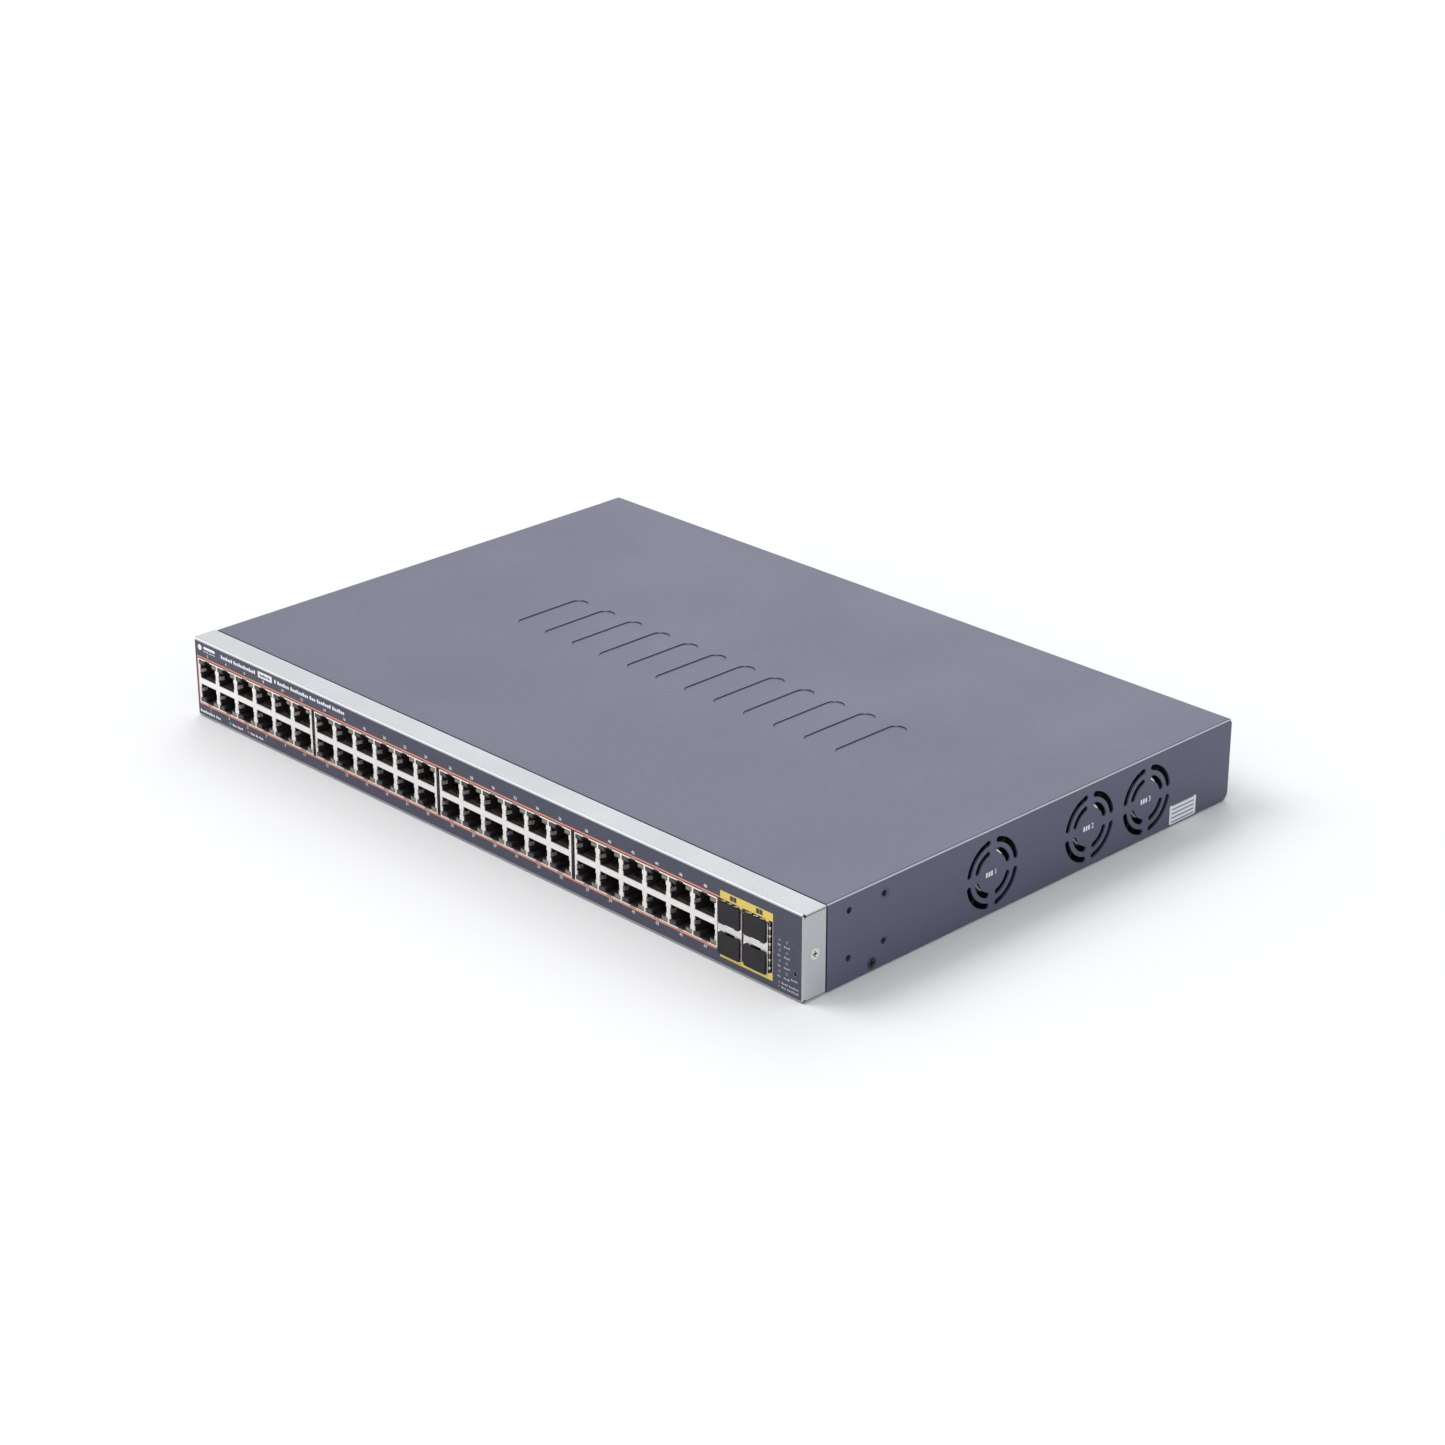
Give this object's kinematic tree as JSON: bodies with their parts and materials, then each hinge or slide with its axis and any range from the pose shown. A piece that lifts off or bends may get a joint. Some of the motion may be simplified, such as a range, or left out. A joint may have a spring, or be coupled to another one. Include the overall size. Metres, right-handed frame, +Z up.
{
  "type": "rackmount network switch",
  "caption": "One-rack-unit network switch: stacked copper ports, plugged fibre bays and status lights on the front, spinning side fans, mains inlet behind.",
  "frame": {"origin": "middle of the case's footprint, on its underside", "axes": "+X towards the fan side, -Y out of the port face, +Z up"},
  "size_m": [0.4401, 0.3034, 0.0436],
  "materials": {
    "tray_paint": "fine textured powder coat",
    "cover_paint": "fine textured powder coat",
    "bezel_paint": "satin silver paint",
    "film": "fine matt printed film",
    "label_paper": "satin",
    "black_screw": "black oxide",
    "nickel_screw": "nickel plated",
    "rear_screw": "black oxide",
    "jack_plating": "bright nickel plated brass",
    "jack_plastic": "moulded",
    "gold_contacts": "gold plated",
    "green_lens": "clear moulded",
    "amber_lens": "clear moulded",
    "cage_plating": "bright tin plated",
    "spring_plating": "plated spring bronze",
    "connector_plastic": "moulded",
    "plug_rubber": "smooth matt",
    "light_pipe": "clear moulded",
    "switch_plastic": "moulded",
    "button_plastic": "moulded",
    "fan_plastic": "moulded",
    "rotor_plastic": "moulded",
    "copper_winding": "enamelled",
    "bearing_steel": "ground",
    "fan_screw": "zinc plated",
    "red_lead": "extruded",
    "board_green": "solder mask",
    "standoff_metal": "zinc plated",
    "board_screw": "zinc plated",
    "chip_plastic": "moulded",
    "sink_aluminium": "extruded",
    "power_chip_plastic": "moulded",
    "small_can": "sleeved",
    "cream_plastic": "moulded",
    "board_brown": "phenolic laminate",
    "ferrite": "sintered ferrite",
    "large_can": "sleeved",
    "psu_sink": "extruded",
    "choke_winding": "enamelled",
    "inlet_plastic": "moulded",
    "pin_plating": "nickel plated",
    "lead_black": "extruded"
  },
  "bodies": {
    "case": {"base_tray": "tray_paint", "top_cover": "cover_paint", "front_bezel": "bezel_paint", "front_film": "film", "side_label": "label_paper", "cover_side_screws": "black_screw", "bezel_screws": "nickel_screw", "rear_screws": "rear_screw", "jack_shield_1": "jack_plating", "jack_shield_2": "jack_plating", "jack_shield_3": "jack_plating", "jack_shield_4": "jack_plating", "jack_inserts_1": "jack_plastic", "jack_inserts_2": "jack_plastic", "jack_inserts_3": "jack_plastic", "jack_inserts_4": "jack_plastic", "jack_contacts_1": "gold_contacts", "jack_contacts_2": "gold_contacts", "jack_contacts_3": "gold_contacts", "jack_contacts_4": "gold_contacts", "jack_lenses_green": "green_lens", "jack_lenses_amber": "amber_lens", "sfp_cages": "cage_plating", "sfp_spring_strip": "spring_plating", "sfp_connectors": "connector_plastic", "status_light_pipes": "light_pipe", "reset_switch": "switch_plastic", "fan_frame_1": "fan_plastic", "fan_frame_2": "fan_plastic", "fan_frame_3": "fan_plastic", "fan_stators": "copper_winding", "fan_bearings": "bearing_steel", "fan_screws": "fan_screw", "fan_leads": "red_lead", "main_board": "board_green", "board_standoffs": "standoff_metal", "board_screws": "board_screw", "switch_chips": "chip_plastic", "chip_heatsinks": "sink_aluminium", "port_power_chips": "power_chip_plastic", "board_capacitors": "small_can", "board_connectors": "cream_plastic", "psu_board": "board_brown", "psu_transformers": "ferrite", "psu_capacitors": "large_can", "psu_heatsinks": "psu_sink", "psu_chokes": "choke_winding", "power_inlet": "inlet_plastic", "inlet_pins": "pin_plating", "power_harness": "lead_black"},
    "rotor_1": {"fan_rotor_1": "rotor_plastic"},
    "rotor_2": {"fan_rotor_2": "rotor_plastic"},
    "rotor_3": {"fan_rotor_3": "rotor_plastic"},
    "plug_1": {"dust_plug_1": "plug_rubber"},
    "plug_2": {"dust_plug_2": "plug_rubber"},
    "plug_3": {"dust_plug_3": "plug_rubber"},
    "plug_4": {"dust_plug_4": "plug_rubber"},
    "button": {"reset_button": "button_plastic"}
  },
  "joints": [
    {"name": "fan_1_spin", "type": "hinge", "parent": "case", "child": "rotor_1", "pos_m": [0.2082, -0.0259, 0.02095], "axis": [1, 0, 0], "continuous": true},
    {"name": "fan_2_spin", "type": "hinge", "parent": "case", "child": "rotor_2", "pos_m": [0.2082, 0.043, 0.02095], "axis": [1, 0, 0], "continuous": true},
    {"name": "fan_3_spin", "type": "hinge", "parent": "case", "child": "rotor_3", "pos_m": [0.2082, 0.0855, 0.02095], "axis": [1, 0, 0], "continuous": true},
    {"name": "plug_1_pull", "type": "slide", "parent": "case", "child": "plug_1", "axis": [0, -1, 0], "range_m": [0, 0.014]},
    {"name": "plug_2_pull", "type": "slide", "parent": "case", "child": "plug_2", "axis": [0, -1, 0], "range_m": [0, 0.014]},
    {"name": "plug_3_pull", "type": "slide", "parent": "case", "child": "plug_3", "axis": [0, -1, 0], "range_m": [0, 0.014]},
    {"name": "plug_4_pull", "type": "slide", "parent": "case", "child": "plug_4", "axis": [0, -1, 0], "range_m": [0, 0.014]},
    {"name": "reset_press", "type": "slide", "parent": "case", "child": "button", "axis": [0, 1, 0], "range_m": [0, 0.0005], "stiffness_N_per_m": 400, "springref_m": -0.001}
  ]
}
